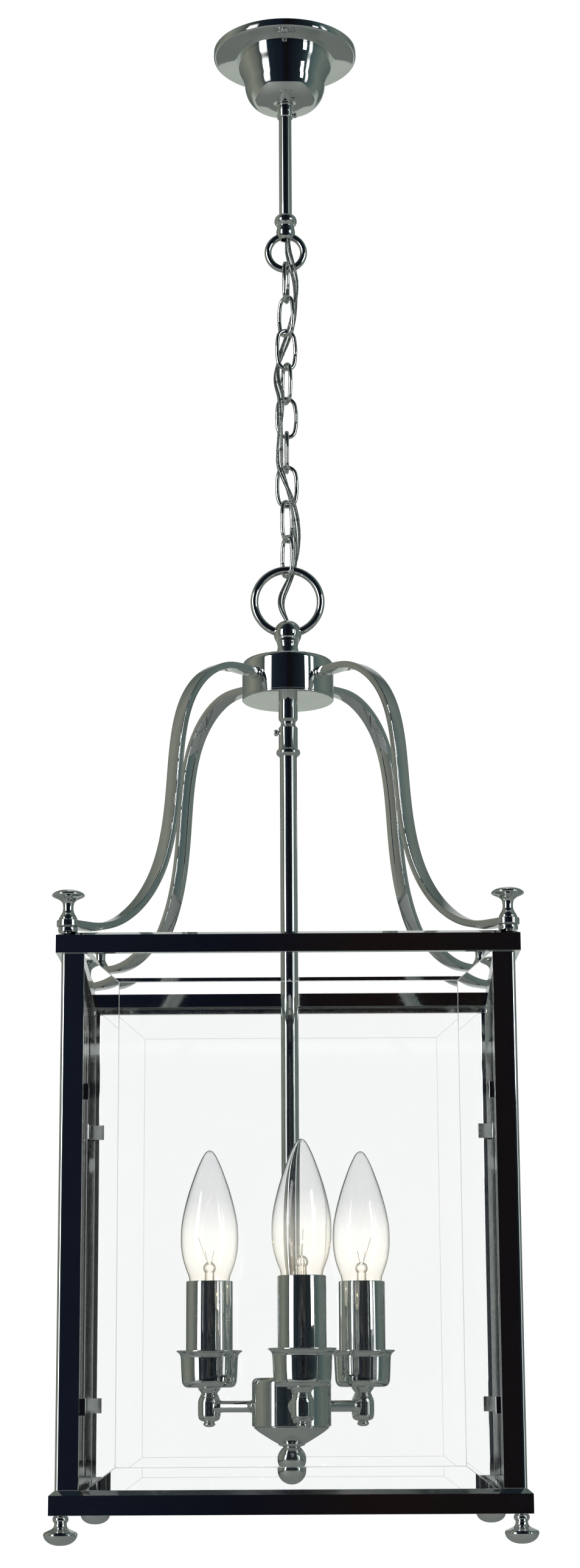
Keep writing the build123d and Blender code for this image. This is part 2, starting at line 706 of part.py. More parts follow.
def candle_cup():
    """Turned drip cup: a tapered wall, a flared lip and a floor under the sleeve."""
    low, high = CUP_Z
    wall = 1.2
    return turned(
        line((2.6, low), (13.2, low)),
        curve((13.2, low), (15.6, low + 2.4), (16.5, low + 9.0), (16.6, high - 4.0),
              (19.0, high - 0.9), tangents=[(1, 0.2), (1, 0.9)]),
        line((19.0, high - 0.9), (19.0, high), (18.2, high)),
        curve((18.2, high), (16.6 - wall, high - 3.4), (16.5 - wall, low + 8.8),
              (14.6, low + 2.9), tangents=[(-1, -0.9), (-0.7, -1)]),
        line((14.6, low + 2.9), (14.6, low + 2.2), (2.6, low + 2.2), (2.6, low)))


def candle_sleeve():
    return round_bar(SLEEVE_R, CUP_Z[0] + 2.2, SLEEVE_TOP, SLEEVE_R - 0.9)


def lampholder():
    """Screw lampholder inside the sleeve, open above for the bulb's cap."""
    floor = CUP_Z[0] + 2.2
    top = BULB_COLLAR_Z - 1.0
    cap_seat = BULB_COLLAR_Z - 25.5
    holder = round_bar(HOLDER_R, floor, top)
    holder = chamfer(holder.edges().sort_by(Axis.Z)[-1], 1.2)
    holder -= round_bar(CAP_R + 0.35, cap_seat, top + 1)
    return holder - round_bar(2.4, floor - 1, cap_seat + 1)


def bulb_base():
    """Screw cap, and inside the glass the mount that holds up the filaments."""
    top = BULB_COLLAR_Z
    low = top - 25.0
    cap = turned(
        line((0, low), (2.6, low), (3.4, low + 1.2), (5.6, low + 3.2), (CAP_R, low + 5.0),
             (CAP_R, top - 3.0), (7.05, top - 2.2), (7.05, top + 1.2), (0, top + 1.2), (0, low)))
    mount = round_bar(2.6, top + 1.0, top + 6.0) + round_bar(1.5, top + 5.8, top + 22.0)
    return cap + mount


def bulb_glass():
    """Clear candle-shaped envelope, narrowing inside the sleeve to the cap's neck."""
    low = BULB_COLLAR_Z + 1.3
    wall = 0.9
    neck = 7.6
    outline = Spline((neck, low), (12.1, low + 7.6), (15.0, low + 17.0), (BULB_R, low + 32.0),
                     (15.2, low + 46.0), (11.5, low + 59.9), (6.4, low + 73.8), (0, BULB_TIP_Z),
                     tangents=[(0.5, 1), (-1, 0)])
    inner = moved_aside(outline, wall)
    return turned(
        curve(*[outline @ (i / 22) for i in range(23)], tangents=[(0.5, 1), (-1, 0)]),
        line((0, BULB_TIP_Z), inner[-1]),
        curve(*reversed(inner), tangents=[(1, 0), (-0.5, -1)]),
        line(inner[0], (neck, low)))


# ---- Write every node ----

SINGLE_NODES = {
    "ceiling_bracket": ceiling_bracket,
    "rod_nuts": rod_nuts,
    "terminal_block": terminal_block,
    "supply_cores": supply_cores,
    "hanging_rod": hanging_rod,
    "upper_loop": upper_loop,
    "canopy": canopy,
    "canopy_collar": canopy_collar,
    "collar_screw": collar_screw,
    "canopy_screws": canopy_screws,
    "flex_cord": flex_cord,
    "stem_flex": stem_flex,
    "lower_loop": lower_loop,
    "hub_drum": hub_drum,
    "hub_plate": hub_plate,
    "hub_nut": hub_nut,
    "arm_studs": arm_studs,
    "stem_coupler": stem_coupler,
    "coupler_screw": coupler_screw,
    "stem_tube": stem_tube,
    "glass_clips": glass_clips,
    "cluster_body": cluster_body,
    "cluster_finial": cluster_finial,
}
for name, make in SINGLE_NODES.items():
    write(name, make())

chain_links()

arm = hanger_arm()
for corner, angle in QUARTERS.items():
    write(f"hanger_arm_{corner}", Rot(0, 0, angle) * arm)

write("top_rails", rails(TOP_RAIL, GLASS_Z[1], (2.0, 5.0), 2.05))
write("bottom_rails", rails(BOTTOM_RAIL, GLASS_Z[0], (2.6, 3.0), 2.05))

post = corner_post()
for corner, angle in QUARTERS.items():
    write(f"corner_post_{corner}", Rot(0, 0, angle - 45) * post)

pane = glass_pane()
for side, angle in SIDES.items():
    write(f"glass_pane_{side}", Rot(0, 0, angle) * pane)

write("foot_spacers", at_corners(foot_spacer()))
write("top_finials", at_corners(top_finial()))
write("bottom_finials", at_corners(bottom_finial()))

write("cluster_arms", group(around(cluster_arm(), candle_angles())))
write("candle_fittings", group(at_candles(candle_fitting())))
write("candle_cups", group(at_candles(candle_cup())))
write("candle_sleeves", group(at_candles(candle_sleeve())))
write("lampholders", group(at_candles(lampholder())))

for i, (glass, base) in enumerate(zip(at_candles(bulb_glass()), at_candles(bulb_base()))):
    write(f"bulb_glass_{i + 1}", glass)
    write(f"bulb_base_{i + 1}", base)
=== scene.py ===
import json
import math
import bmesh
import bpy
import numpy as np
from mathutils import Matrix, Vector


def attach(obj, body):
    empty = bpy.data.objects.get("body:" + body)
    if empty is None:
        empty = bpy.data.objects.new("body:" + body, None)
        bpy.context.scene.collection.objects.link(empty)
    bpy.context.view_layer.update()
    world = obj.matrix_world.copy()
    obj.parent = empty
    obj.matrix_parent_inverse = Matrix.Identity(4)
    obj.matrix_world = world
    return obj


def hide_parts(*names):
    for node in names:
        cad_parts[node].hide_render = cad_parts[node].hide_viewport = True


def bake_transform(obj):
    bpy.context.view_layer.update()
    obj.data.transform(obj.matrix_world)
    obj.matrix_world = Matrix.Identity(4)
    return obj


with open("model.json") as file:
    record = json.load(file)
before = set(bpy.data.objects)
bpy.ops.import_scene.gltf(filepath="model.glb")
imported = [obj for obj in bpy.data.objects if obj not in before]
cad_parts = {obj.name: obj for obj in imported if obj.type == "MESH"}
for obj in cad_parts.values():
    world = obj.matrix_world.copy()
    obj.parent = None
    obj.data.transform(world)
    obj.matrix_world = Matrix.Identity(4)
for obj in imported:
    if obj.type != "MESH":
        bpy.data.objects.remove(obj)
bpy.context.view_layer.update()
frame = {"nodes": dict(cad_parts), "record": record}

MM = 0.001
CORNERS = {"front_left": 225, "front_right": 315, "back_right": 45, "back_left": 135}
SIDES = ("front", "right", "back", "left")
COLLAR_Z = -775.5
BULB_TIP_Z = -691.8


# ---- Materials ----

def new_material(name):
    mat = bpy.data.materials.new(name)
    mat.use_nodes = True
    return mat, mat.node_tree.nodes, mat.node_tree.links, mat.node_tree.nodes["Principled BSDF"]


def noise(nodes, links, scale, detail=4.0, stretch=None):
    """Noise in object space, optionally stretched along one direction."""
    coords = nodes.new("ShaderNodeTexCoord")
    tex = nodes.new("ShaderNodeTexNoise")
    tex.inputs["Scale"].default_value = scale
    tex.inputs["Detail"].default_value = detail
    if stretch:
        mapping = nodes.new("ShaderNodeMapping")
        mapping.inputs["Scale"].default_value = stretch
        links.new(coords.outputs["Object"], mapping.inputs["Vector"])
        links.new(mapping.outputs["Vector"], tex.inputs["Vector"])
    else:
        links.new(coords.outputs["Object"], tex.inputs["Vector"])
    return tex.outputs["Fac"]


def ramp(nodes, links, source, stops):
    node = nodes.new("ShaderNodeValToRGB")
    elements = node.color_ramp.elements
    while len(elements) < len(stops):
        elements.new(0.5)
    for element, (at, value) in zip(elements, stops):
        element.position = at
        colour = value if isinstance(value, tuple) else (value, value, value)
        element.color = (*colour, 1.0)
    links.new(source, node.inputs["Fac"])
    return node.outputs["Color"]


def bump(nodes, links, height, strength, distance, target):
    node = nodes.new("ShaderNodeBump")
    node.inputs["Strength"].default_value = strength
    node.inputs["Distance"].default_value = distance
    links.new(height, node.inputs["Height"])
    links.new(node.outputs["Normal"], target.inputs["Normal"])


def metal(name, dark, light, rough, wave=0.0, grain=900.0):
    """Plated or polished metal: faint cloudiness, fine polishing variation, slight waviness."""
    mat, nodes, links, bsdf = new_material(name)
    bsdf.inputs["Metallic"].default_value = 1.0
    cloud = noise(nodes, links, 38.0, 5.0)
    links.new(ramp(nodes, links, cloud, [(0.3, dark), (0.7, light)]), bsdf.inputs["Base Color"])
    fine = noise(nodes, links, grain, 3.0)
    links.new(ramp(nodes, links, fine, [(0.35, rough[0]), (0.75, rough[1])]), bsdf.inputs["Roughness"])
    if wave:
        bump(nodes, links, noise(nodes, links, 22.0, 1.0), wave, 0.002, bsdf)
    return mat


def clear_glass(name, dark, light, ior, rough=0.0):
    """Clear glass with a faint uneven tint."""
    mat, nodes, links, bsdf = new_material(name)
    bsdf.inputs["Transmission Weight"].default_value = 1.0
    bsdf.inputs["IOR"].default_value = ior
    tint = noise(nodes, links, 14.0, 2.0)
    links.new(ramp(nodes, links, tint, [(0.3, dark), (0.7, light)]), bsdf.inputs["Base Color"])
    smear = noise(nodes, links, 60.0, 4.0)
    links.new(ramp(nodes, links, smear, [(0.4, rough), (0.9, rough + 0.012)]), bsdf.inputs["Roughness"])
    return mat


def moulded(name, dark, light, rough, speck=500.0):
    mat, nodes, links, bsdf = new_material(name)
    mottle = noise(nodes, links, 60.0, 4.0)
    links.new(ramp(nodes, links, mottle, [(0.3, dark), (0.7, light)]), bsdf.inputs["Base Color"])
    fine = noise(nodes, links, speck, 3.0)
    links.new(ramp(nodes, links, fine, [(0.3, rough[0]), (0.8, rough[1])]), bsdf.inputs["Roughness"])
    bump(nodes, links, fine, 0.15, 0.0002, bsdf)
    return mat


def bulb_material():
    """Thin clear glass with painted glow near the filament (a warm tint and faint emission), faintly grey
    towards the tip.
    """
    mat, nodes, links, bsdf = new_material("bulb_glass_clear")
    bsdf.inputs["Transmission Weight"].default_value = 1.0
    bsdf.inputs["IOR"].default_value = 1.46
    bsdf.inputs["Roughness"].default_value = 0.0
    coords = nodes.new("ShaderNodeTexCoord")
    axes = nodes.new("ShaderNodeSeparateXYZ")
    links.new(coords.outputs["Object"], axes.inputs["Vector"])
    height = nodes.new("ShaderNodeMapRange")
    height.inputs["From Min"].default_value = (COLLAR_Z + 1.3) * MM
    height.inputs["From Max"].default_value = BULB_TIP_Z * MM
    links.new(axes.outputs["Z"], height.inputs["Value"])
    # Warm tint near the filament is painted glow; towards the tip the tint turns faintly grey.
    tint = ramp(nodes, links, height.outputs["Result"], [
        (0.0, (0.985, 0.968, 0.935)), (0.4, (0.99, 0.983, 0.968)), (0.62, (0.97, 0.967, 0.972)),
        (1.0, (0.955, 0.952, 0.96))])
    links.new(tint, bsdf.inputs["Base Color"])
    # Painted glow: emission in the glass near the filament stands in for the filament's light, though the
    # glass is no lamp.
    glow = ramp(nodes, links, height.outputs["Result"], [
        (0.04, (0.55, 0.47, 0.34)), (0.24, (1.0, 0.94, 0.82)), (0.42, (0.86, 0.83, 0.76)),
        (0.66, (0.0, 0.0, 0.0))])
    links.new(glow, bsdf.inputs["Emission Color"])
    bsdf.inputs["Emission Strength"].default_value = 0.07
    return mat


def filament_material():
    mat, nodes, links, bsdf = new_material("filament_glow")
    heat = noise(nodes, links, 900.0, 2.0)
    glow = ramp(nodes, links, heat, [(0.2, (1.0, 0.62, 0.22)), (0.8, (1.0, 0.86, 0.55))])
    links.new(glow, bsdf.inputs["Emission Color"])
    links.new(glow, bsdf.inputs["Base Color"])
    bsdf.inputs["Emission Strength"].default_value = 14.0
    return mat


CHROME = metal("polished_chrome", (0.74, 0.76, 0.75), (0.84, 0.85, 0.84), (0.022, 0.06), 0.05)
CHROME_FLAT = metal("polished_chrome_bar", (0.72, 0.74, 0.74), (0.82, 0.83, 0.83), (0.03, 0.075), 0.03)
ZINC = metal("zinc_plate", (0.5, 0.51, 0.5), (0.64, 0.65, 0.66), (0.32, 0.5), 0.1, 400.0)
CAP_METAL = metal("nickelled_cap", (0.6, 0.6, 0.58), (0.78, 0.78, 0.76), (0.14, 0.26), 0.05)
COPPER = metal("bare_copper", (0.62, 0.33, 0.2), (0.8, 0.48, 0.3), (0.2, 0.35), 0.1)
TINNED = metal("tinned_strand", (0.42, 0.45, 0.44), (0.6, 0.62, 0.61), (0.2, 0.36), 0.1, 1500.0)
PANE = clear_glass("pane_glass", (0.982, 0.99, 0.986), (0.988, 0.994, 0.991), 1.5)
PANE_ARRIS = clear_glass("pane_arris", (0.5, 0.54, 0.53), (0.62, 0.65, 0.64), 1.5, 0.25)
BULB = bulb_material()
SHEATH = clear_glass("clear_sheath", (0.66, 0.7, 0.68), (0.8, 0.83, 0.81), 1.46, 0.16)
PLASTIC = moulded("block_plastic", (0.78, 0.76, 0.7), (0.86, 0.84, 0.79), (0.4, 0.6))
HOLDER = moulded("holder_plastic", (0.05, 0.05, 0.05), (0.09, 0.088, 0.085), (0.35, 0.55))
FILAMENT = filament_material()

SLOT_LOOK = {"chrome": CHROME, "clear_glass": PANE, "bulb_glass": BULB, "bulb_cap": CAP_METAL,
             "terminal_plastic": PLASTIC, "galvanised_steel": ZINC, "copper": COPPER,
             "flex_clear": SHEATH}

for entry in frame["record"]["subparts"]:
    node = frame["nodes"][entry["node"]]
    look = HOLDER if entry["node"] == "lampholders" else SLOT_LOOK[entry["material_slot"]]
    node.data.materials.clear()
    node.data.materials.append(look)
    node.data.shade_smooth()
    node.data.set_sharp_from_angle(angle=math.radians(32))


# ---- Building helpers ----

def piece(name, verts, faces, body, node, look, sharp=32, smooth=True):
    """A mesh piece in millimetres that rides on a body and stands for a CAD node."""
    mesh = bpy.data.meshes.new(name)
    mesh.from_pydata([tuple(c * MM for c in v) for v in verts], [], faces)
    mesh.validate()
    mesh.update()
    mesh.materials.append(look)
    if smooth:
        mesh.shade_smooth()
        mesh.set_sharp_from_angle(angle=math.radians(sharp))
    obj = bpy.data.objects.new(name, mesh)
    bpy.context.scene.collection.objects.link(obj)
    if body:
        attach(obj, body)
    if node:
        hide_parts(node)
    return obj


def curve(points, steps=10):
    """Smooth run through the points (Catmull-Rom)."""
    pts = [np.array(p, float) for p in points]
    pts = [2 * pts[0] - pts[1]] + pts + [2 * pts[-1] - pts[-2]]
    out = []
    for a, b, c, d in zip(pts, pts[1:], pts[2:], pts[3:]):
        for i in range(steps):
            t = i / steps
            out.append(0.5 * (2 * b + (c - a) * t + (2 * a - 5 * b + 4 * c - d) * t * t
                              + (3 * b - a - 3 * c + d) * t ** 3))
    out.append(pts[-2])
    return [tuple(p) for p in out]


def arc(centre, radius, start, end, steps=16):
    """Circular run in the half section, angles in degrees from the +r direction."""
    angles = [math.radians(start + (end - start) * i / steps) for i in range(steps + 1)]
    return [(centre[0] + radius * math.cos(a), centre[1] + radius * math.sin(a)) for a in angles]


def soften(points, radius=0.35):
    """Round the sharp corners of a half section."""
    out = []
    for i, p in enumerate(points):
        p = np.array(p, float)
        if i in (0, len(points) - 1):
            out.append(tuple(p))
            continue
        a = np.array(points[i - 1], float) - p
        b = np.array(points[i + 1], float) - p
        la, lb = np.linalg.norm(a), np.linalg.norm(b)
        if la < 1e-6 or lb < 1e-6:
            continue
        turn = math.pi - math.acos(max(-1, min(1, float(a @ b) / (la * lb))))
        if turn < math.radians(24) or p[0] < 1e-6:
            out.append(tuple(p))
            continue
        cut = min(radius * math.tan(turn / 2), 0.42 * la, 0.42 * lb)
        start, end = p + a / la * cut, p + b / lb * cut
        for t in (0.0, 0.25, 0.5, 0.75, 1.0):
            q = (1 - t) ** 2 * start + 2 * t * (1 - t) * p + t * t * end
            out.append(tuple(q))
    return out


def lathe_mesh(section, steps, closed):
    """Vertices and faces of a half section spun about Z."""
    rows = [(r, z) for r, z in section]
    verts, faces, starts = [], [], []
    for r, z in rows:
        starts.append(len(verts))
        if r < 1e-6:
            verts.append((0, 0, z))
        else:
            verts += [(r * math.cos(2 * math.pi * k / steps), r * math.sin(2 * math.pi * k / steps), z)
                      for k in range(steps)]
    pairs = list(zip(range(len(rows)), range(1, len(rows))))
    if closed:
        pairs.append((len(rows) - 1, 0))
    for i, j in pairs:
        flat_i, flat_j = rows[i][0] < 1e-6, rows[j][0] < 1e-6
        for k in range(steps):
            n = (k + 1) % steps
            if flat_i and flat_j:
                break
            if flat_i:
                faces.append((starts[i], starts[j] + n, starts[j] + k))
            elif flat_j:
                faces.append((starts[i] + k, starts[i] + n, starts[j]))
            else:
                faces.append((starts[i] + k, starts[i] + n, starts[j] + n, starts[j] + k))
    return verts, faces


def place(verts, matrix):
    return [tuple(matrix @ Vector(v)) for v in verts]


def lathe(name, section, body, node, look=None, at=(Matrix.Identity(4),), steps=96,
          closed=True, round_by=0.35, sharp=32):
    """Turned piece, or several alike, from a half section listed from low to high outside."""
    verts, faces = lathe_mesh(soften(section, round_by), steps, closed)
    all_verts, all_faces = [], []
    for matrix in at:
        base = len(all_verts)
        all_verts += place(verts, matrix)
        all_faces += [tuple(base + i for i in f) for f in faces]
    obj = piece(name, all_verts, all_faces, body, node, look or CHROME, sharp)
    fix_normals(obj)
    return obj


def fix_normals(obj):
    bm = bmesh.new()
    bm.from_mesh(obj.data)
    bmesh.ops.recalc_face_normals(bm, faces=bm.faces)
    bm.to_mesh(obj.data)
    bm.free()


def sweep(points, ups, section, closed=False):
    """Vertices and faces of a section (across, up) carried along points with given up vectors."""
    pts = [np.array(p, float) for p in points]
    count, size = len(pts), len(section(0.0))
    verts, faces = [], []
    for i, p in enumerate(pts):
        if closed:
            ahead, behind = pts[(i + 1) % count], pts[i - 1]
        else:
            ahead, behind = pts[min(i + 1, count - 1)], pts[max(i - 1, 0)]
        t = ahead - behind
        t /= np.linalg.norm(t)
        up = np.array(ups[i], float)
        up -= t * (up @ t)
        up /= np.linalg.norm(up)
        across = np.cross(t, up)
        for a, u in section(i / max(count - 1, 1)):
            verts.append(tuple(p + across * a + up * u))
    rings = count if closed else count - 1
    for i in range(rings):
        j = (i + 1) % count
        for k in range(size):
            n = (k + 1) % size
            faces.append((i * size + k, i * size + n, j * size + n, j * size + k))
    if not closed:
        faces.append(tuple(range(size - 1, -1, -1)))
        faces.append(tuple((count - 1) * size + k for k in range(size)))
    return verts, faces


def ring_section(radius, sides=20):
    pts = [(radius * math.cos(2 * math.pi * k / sides), radius * math.sin(2 * math.pi * k / sides))
           for k in range(sides)]
    return lambda at: pts


def bar_section(width, height, corner, steps=3):
    """Rectangle with rounded corners."""
    pts = []
    for sx, sy, start in ((1, 1, 0), (-1, 1, 90), (-1, -1, 180), (1, -1, 270)):
        for i in range(steps + 1):
            a = math.radians(start + 90 * i / steps)
            pts.append((sx * (width / 2 - corner) + corner * math.cos(a),
                        sy * (height / 2 - corner) + corner * math.sin(a)))
    return lambda at: pts


def bevelled_copy(node, body, look, width, segments=2, edge_look=None):
    """The CAD shape with its edges eased, as a fresh mesh with truly flat faces."""
    bm = bmesh.new()
    bm.from_mesh(frame["nodes"][node].data)
    bmesh.ops.remove_doubles(bm, verts=bm.verts, dist=2e-6)
    bmesh.ops.dissolve_limit(bm, angle_limit=math.radians(1.0), verts=bm.verts, edges=bm.edges)
    edges = [e for e in bm.edges if len(e.link_faces) == 2 and e.calc_face_angle() > math.radians(3)]
    eased = bmesh.ops.bevel(bm, geom=edges, offset=width * MM, segments=segments, profile=0.5,
                            affect="EDGES", clamp_overlap=True)
    for face in bm.faces:
        face.smooth = False
        face.material_index = 0
    if edge_look:
        for face in eased["faces"]:
            face.material_index = 1
    mesh = bpy.data.meshes.new(node + "_eased")
    bm.to_mesh(mesh)
    bm.free()
    mesh.materials.append(look)
    if edge_look:
        mesh.materials.append(edge_look)
    obj = bpy.data.objects.new(node + "_eased", mesh)
    bpy.context.scene.collection.objects.link(obj)
    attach(obj, body)
    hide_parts(node)
    return obj


def turn_z(degrees):
    return Matrix.Rotation(math.radians(degrees), 4, "Z")


def shift(x, y, z=0.0):
    return Matrix.Translation((x, y, z))


# ---- Canopy, rod and upper loop ----

lathe("canopy_bell", [(43.8, -0.1), (44.9, -0.1), (45.0, -0.5), (45.0, -3.4)]
      + arc((43.2, -3.4), 1.8, 0, -90, 8)[1:]
      + [(31.6, -5.2)]
      + curve([(30.4, -5.6), (30.2, -8.0), (29.2, -12.0), (26.9, -17.0), (25.5, -21.6), (24.9, -26.0),
               (23.4, -30.4), (20.9, -34.0), (18.6, -35.9), (16.6, -36.5)], 6)
      + [(4.6, -36.5), (4.6, -35.4), (16.4, -35.3)]
      + curve([(18.2, -34.6), (20.2, -32.6), (22.3, -29.4), (23.8, -25.4), (24.4, -21.2), (25.8, -16.6),
               (28.0, -11.6), (29.0, -7.6), (29.4, -4.4)], 6)
      + [(43.7, -4.0)], "canopy", "canopy", steps=128)

collar = [(4.05, -45.5), (4.5, -45.5), (5.0, -44.9), (5.0, -37.6), (5.4, -37.3), (5.4, -36.6), (4.05, -36.6)]
lathe("canopy_collar_turned", collar, "canopy", "canopy_collar")
across = Matrix.Rotation(math.radians(90), 4, "Y")
grub_screw = [(0, 4.4), (0.9, 4.4), (0.9, 5.3), (1.7, 5.3), (1.75, 6.9), (1.2, 7.3), (0.5, 7.3), (0.4, 6.9),
              (0, 6.9)]
lathe("collar_screw_turned", grub_screw, "canopy", "collar_screw",
      at=[shift(0, 0, -43.1) @ across], steps=24)
screw_head = [(0, -5.2), (1.5, -5.2), (1.5, -5.22), (2.4, -5.25), (2.35, -5.9), (1.7, -6.6), (0.7, -7.0),
              (0, -7.1)]
lathe("canopy_screws_domed", [(0, -0.5), (1.45, -0.5)] + screw_head[1:], "canopy", "canopy_screws",
      at=[shift(0, 40), shift(0, -40)], steps=32)

lathe("rod_tube", [(2.9, -113), (3.9, -113), (4.0, -112.8), (4.0, -11.5), (3.8, -11.3), (2.9, -11.3)],
      "ceiling", "hanging_rod", steps=64)

upper_beads = ([(2.95, -127.5), (4.1, -127.5)]
               + curve([(4.9, -126.4), (5.7, -124.6), (5.9, -122.8), (5.7, -120.9), (5.3, -119.2)], 6)
               + [(5.0, -118.8), (5.4, -118.4)]
               + curve([(6.2, -117.6), (6.9, -116.2), (7.0, -114.9), (6.6, -113.3), (5.8, -112.2),
                        (5.1, -111.7)], 6)
               + [(4.6, -111.5), (4.03, -111.45), (4.03, -113), (2.95, -113)])
lathe("upper_loop_beads", upper_beads, "ceiling", "upper_loop", steps=72)


def ring(name, radius, wire, z, body, node, gap_below=None, gap_above=None):
    """Round ring of wire facing the front, open where a boss takes its place."""
    steps = 120
    angles = [2 * math.pi * i / steps for i in range(steps)]
    keep = angles
    if gap_above is not None:
        keep = [a for a in angles if z + radius * math.sin(a) < gap_above]
        keep = sorted(keep, key=lambda a: (a - math.pi / 2) % (2 * math.pi))
    if gap_below is not None:
        keep = [a for a in angles if z + radius * math.sin(a) > gap_below]
        keep = sorted(keep, key=lambda a: (a + math.pi / 2) % (2 * math.pi))
    points = [(radius * math.cos(a), 0, z + radius * math.sin(a)) for a in keep]
    ups = [(math.cos(a), 0, math.sin(a)) for a in keep]
    verts, faces = sweep(points, ups, ring_section(wire, 28))
    obj = piece(name, verts, faces, body, node, CHROME, 60)
    fix_normals(obj)
    return obj


ring("upper_loop_ring", 11.1, 2.2, -136.1, "ceiling", "upper_loop", gap_above=-125.7)


# ---- Chain ----

TURNS = (80, 135, 20, 115, 12, 92, 0, 60, 120)
PITCH = 22.28
FIRST_TOP = -143.45
LINK_LENGTH = 25.08


def link_line():
    """Middle line of an oval link of four arcs, and the outward direction along it."""
    end_r, half_width, half = 5.3, 6.0, LINK_LENGTH / 2
    rise = half - end_r
    side_r = (rise ** 2 + half_width ** 2 - end_r ** 2) / (2 * (half_width - end_r))
    side_x = side_r - half_width
    lean = math.degrees(math.atan2(rise, side_x))
    points, ups = [], []
    for x, z, radius, start, turn, steps in (
            (0, -end_r, end_r, lean, 180 - 2 * lean, 26), (side_x, -half, side_r, 180 - lean, 2 * lean, 22),
            (0, end_r - LINK_LENGTH, end_r, 180 + lean, 180 - 2 * lean, 26),
            (-side_x, -half, side_r, -lean, 2 * lean, 22)):
        for i in range(steps):
            a = math.radians(start + turn * i / steps)
            points.append((x + radius * math.cos(a), 0, z + radius * math.sin(a)))
            ups.append((math.cos(a), 0, math.sin(a)))
    return points, ups


def link_section(at):
    """Round wire, pinched where its two ends are butted on one side."""
    seam = abs(at - 0.865)
    radius = 1.25 * (0.86 if seam < 0.004 else 1.0)
    return [(radius * math.cos(2 * math.pi * k / 20), radius * math.sin(2 * math.pi * k / 20))
            for k in range(20)]


line_points, line_ups = link_line()
link_verts, link_faces = sweep(line_points, line_ups, link_section, closed=True)
for k, turn in enumerate(TURNS, start=1):
    matrix = shift(0, 0, FIRST_TOP - (k - 1) * PITCH) @ turn_z(turn)
    obj = piece(f"chain_link_{k}_wire", place(link_verts, matrix), link_faces, f"link_{k}",
                f"chain_link_{k}", CHROME, 60)
    fix_normals(obj)


# ---- Flex ----

OFFSET = 6.4
CLOCK = (-55, -16, 17.5, 47.5, 77.5, 117.5, 157.5, 200, 240, 238, 232, 228, 226, 263, 300, 330, 360, 390, 420)
flex_points = [(0.0, 0.0, -14.0), (0.0, 0.0, -128.5)]
for i, clock in enumerate(CLOCK):
    a = math.radians(clock)
    z = FIRST_TOP - 1.25 - i * PITCH / 2
    if i == 0:
        z = -147.2
    if i == len(CLOCK) - 1:
        z = -342.8
    flex_points.append((OFFSET * math.cos(a), OFFSET * math.sin(a), z))
flex_points += [(-0.5, 4.6, -351.5), (-4.0, 2.4, -360.0), (-3.6, 0.6, -368.0), (0.0, 0.0, -375.4),
                (0.0, 0.0, -377.5)]


def nurbs_line(points):
    """Points along one smooth open spline through the route."""
    data = bpy.data.curves.new("flex_route", "CURVE")
    data.dimensions = "3D"
    spline = data.splines.new("NURBS")
    spline.points.add(len(points) - 1)
    for target, p in zip(spline.points, points):
        target.co = (*[c * MM for c in p], 1.0)
    spline.order_u = 3
    spline.use_endpoint_u = True
    spline.resolution_u = 14
    obj = bpy.data.objects.new("flex_route", data)
    mesh = bpy.data.meshes.new_from_object(obj)
    line = [np.array(v.co) / MM for v in mesh.vertices]
    bpy.data.objects.remove(obj)
    bpy.data.meshes.remove(mesh)
    return line


def twin_section(spacing, radius, sides=14):
    """Outline of two cores moulded side by side."""
    pts = []
    for side, start in ((1, -78), (-1, 102)):
        for i in range(sides + 1):
            a = math.radians(start + 156 * i / sides)
            pts.append((side * spacing + radius * math.cos(a), radius * math.sin(a)))
    return pts


flex_line = nurbs_line(flex_points)
lengths = np.concatenate([[0], np.cumsum([np.linalg.norm(b - a) for a, b in zip(flex_line, flex_line[1:])])])
TWIST_LENGTH = 88.0
cuts = [-14.0] + [FIRST_TOP - LINK_LENGTH / 2 - k * PITCH for k in range(9)] + [-377.5]


def flex_part(index, kind, section, shift_by, look):
    """One stretch of the flex, between two neighbouring cut heights."""
    high, low = cuts[index], cuts[index + 1]
    picked = [i for i, p in enumerate(flex_line) if low - 0.9 <= p[2] <= high + 0.9]
    points, ups = [], []
    for i in picked:
        turn = 2 * math.pi * lengths[i] / TWIST_LENGTH
        tangent = flex_line[min(i + 1, len(flex_line) - 1)] - flex_line[max(i - 1, 0)]
        tangent /= np.linalg.norm(tangent)
        side = np.array([math.cos(turn), math.sin(turn), 0.0])
        side -= tangent * (side @ tangent)
        side /= np.linalg.norm(side)
        points.append(flex_line[i] + side * shift_by)
        ups.append(np.cross(tangent, side))
    verts, faces = sweep(points, ups, lambda at: section)
    obj = piece(f"flex_{kind}_{index}", verts, faces, None, None, look, 50)
    fix_normals(obj)
    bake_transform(obj)
    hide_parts("flex_cord")


core = ring_section(0.72, 12)(0)
for index in range(len(cuts) - 1):
    flex_part(index, "sheath", twin_section(1.05, 1.22), 0.0, SHEATH)
    flex_part(index, "core_a", core, 1.05, TINNED)
    flex_part(index, "core_b", core, -1.05, TINNED)


# ---- Lower loop and hub ----

ring("lower_loop_ring", 20.1, 2.4, -362.9, "lantern", "lower_loop", gap_below=-382.0)
lathe("lower_loop_ball", [(3.45, -410), (4.8, -410), (5.1, -409.9)]
      + [(5.0, -409.6), (5.0, -400.1), (6.9, -400.1), (7.1, -399.0)]
      + curve([(7.35, -397.6), (7.3, -395.6), (6.5, -393.4), (6.1, -391.4), (6.3, -389.6)], 6)
      + [(6.6, -389.2), (6.6, -388.6)]
      + arc((0, -383.1), 8.4, -40, 66, 28)
      + [(3.45, -375.6)], "lantern", "lower_loop")

